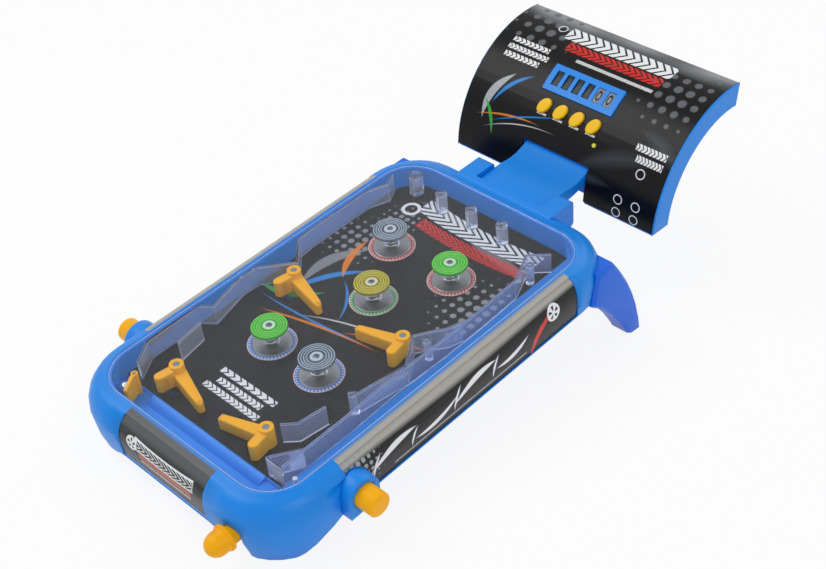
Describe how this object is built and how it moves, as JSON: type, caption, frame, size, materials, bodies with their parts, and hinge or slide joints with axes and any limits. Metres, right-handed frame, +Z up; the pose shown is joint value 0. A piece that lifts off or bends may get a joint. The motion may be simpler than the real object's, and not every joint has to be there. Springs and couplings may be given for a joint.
{
  "type": "toy pinball machine",
  "caption": "Tabletop toy pinball machine: sloped field with flippers and bumpers under a clear cover, side buttons, pull plunger and a tilting curved scoreboard head.",
  "frame": {"origin": "middle of the bounding box, on the surface that the machine stands on", "axes": "+X to the right of the player, +Y away from the player, +Z up"},
  "size_m": [0.283, 0.5566, 0.1778],
  "materials": {
    "blue_plastic": "smooth moulded",
    "dark_blue_plastic": "smooth moulded",
    "yellow_plastic": "smooth moulded",
    "black_plastic": "printed and glossy",
    "clear_plastic": "clear and polished",
    "steel": "bright drawn wire and pressed sheet",
    "ball_steel": "polished",
    "green_plastic": "translucent",
    "lime_plastic": "translucent",
    "smoke_plastic": "translucent",
    "grey_plastic": "fine matt",
    "pale_plastic": "fine matt",
    "circuit_laminate": "lacquered",
    "cell_case": "wrapped"
  },
  "bodies": {
    "table": {"base_housing": "blue_plastic", "underside_plate": "dark_blue_plastic", "front_label_panel": "black_plastic", "right_label_panel": "black_plastic", "left_label_panel": "black_plastic", "rear_leg_right": "dark_blue_plastic", "rear_leg_left": "dark_blue_plastic", "play_board": "black_plastic", "clear_cover": "clear_plastic", "bumper_cap_1": "smoke_plastic", "bumper_post_1": "steel", "bumper_spring_1": "steel", "bumper_cap_2": "green_plastic", "bumper_post_2": "steel", "bumper_spring_2": "steel", "bumper_cap_3": "lime_plastic", "bumper_post_3": "steel", "bumper_spring_3": "steel", "bumper_cap_4": "green_plastic", "bumper_post_4": "steel", "bumper_spring_4": "steel", "bumper_cap_5": "smoke_plastic", "bumper_post_5": "steel", "bumper_spring_5": "steel", "left_button_collar": "blue_plastic", "left_return_spring": "steel", "right_button_collar": "blue_plastic", "right_return_spring": "steel", "plunger_spring": "steel", "steel_ball": "ball_steel", "neck_hinge_pin": "steel"},
    "left_button_set": {"left_button": "yellow_plastic", "left_slide_bar": "grey_plastic"},
    "right_button_set": {"right_button": "yellow_plastic", "right_slide_bar": "grey_plastic"},
    "plunger": {"plunger_knob": "yellow_plastic", "plunger_rod": "pale_plastic"},
    "gate": {"ball_gate": "yellow_plastic"},
    "head": {"neck_arm": "blue_plastic", "head_rear_shell": "blue_plastic", "head_front_panel": "black_plastic", "display_bezel": "blue_plastic", "display_glass": "grey_plastic", "status_lamp": "lime_plastic", "circuit_board": "circuit_laminate", "battery_door": "dark_blue_plastic", "battery_cell_1": "cell_case", "battery_cell_2": "cell_case"},
    "lower_left_flipper": {"flipper_lower_left": "yellow_plastic"},
    "lower_right_flipper": {"flipper_lower_right": "yellow_plastic"},
    "upper_left_flipper": {"flipper_upper_left": "yellow_plastic"},
    "upper_right_flipper": {"flipper_upper_right": "yellow_plastic"},
    "key_1": {"mode_key_1": "yellow_plastic"},
    "key_2": {"mode_key_2": "yellow_plastic"},
    "key_3": {"mode_key_3": "yellow_plastic"},
    "key_4": {"mode_key_4": "yellow_plastic"}
  },
  "joints": [
    {"name": "left_button_press", "type": "slide", "parent": "table", "child": "left_button_set", "axis": [1, 0, 0], "range_m": [0, 0.01002], "stiffness_N_per_m": 180, "springref_m": -0.008, "deforming": ["left_return_spring"]},
    {"name": "right_button_press", "type": "slide", "parent": "table", "child": "right_button_set", "axis": [-1, 0, 0], "range_m": [0, 0.01002], "stiffness_N_per_m": 180, "springref_m": -0.008, "deforming": ["right_return_spring"]},
    {"name": "lower_left_flip", "type": "hinge", "parent": "table", "child": "lower_left_flipper", "pos_m": [-0.0594, -0.19154, 0.05117], "axis": [0, -0.1132, 0.9936], "range_deg": [0, 40]},
    {"name": "lower_right_flip", "type": "hinge", "parent": "table", "child": "lower_right_flipper", "pos_m": [0.0412, -0.19154, 0.05117], "axis": [0, 0.1132, -0.9936], "range_deg": [0, 40]},
    {"name": "upper_left_flip", "type": "hinge", "parent": "table", "child": "upper_left_flipper", "pos_m": [-0.0695, -0.06317, 0.0658], "axis": [0, -0.1132, 0.9936], "range_deg": [0, 40]},
    {"name": "upper_right_flip", "type": "hinge", "parent": "table", "child": "upper_right_flipper", "pos_m": [0.0513, -0.06317, 0.0658], "axis": [0, 0.1132, -0.9936], "range_deg": [0, 40]},
    {"name": "plunger_pull", "type": "slide", "parent": "table", "child": "plunger", "axis": [0, -0.9936, -0.1132], "range_m": [0, 0.016], "stiffness_N_per_m": 150, "springref_m": -0.012, "deforming": ["plunger_spring"]},
    {"name": "gate_turn", "type": "hinge", "parent": "table", "child": "gate", "pos_m": [-0.0775, -0.21747, 0.04822], "axis": [0, -0.1132, 0.9936], "range_deg": [-20, 20]},
    {"name": "head_tilt", "type": "hinge", "parent": "table", "child": "head", "pos_m": [0, 0.12588, 0.08935], "axis": [1, 0, 0], "range_deg": [-10, 20]},
    {"name": "key_1_press", "type": "slide", "parent": "head", "child": "key_1", "axis": [0, 0.8018, -0.5976], "range_m": [0, 0.0015], "stiffness_N_per_m": 500, "springref_m": -0.001},
    {"name": "key_2_press", "type": "slide", "parent": "head", "child": "key_2", "axis": [0, 0.8018, -0.5976], "range_m": [0, 0.0015], "stiffness_N_per_m": 500, "springref_m": -0.001},
    {"name": "key_3_press", "type": "slide", "parent": "head", "child": "key_3", "axis": [0, 0.8018, -0.5976], "range_m": [0, 0.0015], "stiffness_N_per_m": 500, "springref_m": -0.001},
    {"name": "key_4_press", "type": "slide", "parent": "head", "child": "key_4", "axis": [0, 0.8018, -0.5976], "range_m": [0, 0.0015], "stiffness_N_per_m": 500, "springref_m": -0.001}
  ],
  "couplings": [
    {"joint": "lower_left_flip", "follows": "left_button_press", "rad_per_m": 69.674},
    {"joint": "upper_left_flip", "follows": "left_button_press", "rad_per_m": 69.674},
    {"joint": "lower_right_flip", "follows": "right_button_press", "rad_per_m": 69.674},
    {"joint": "upper_right_flip", "follows": "right_button_press", "rad_per_m": 69.674}
  ]
}
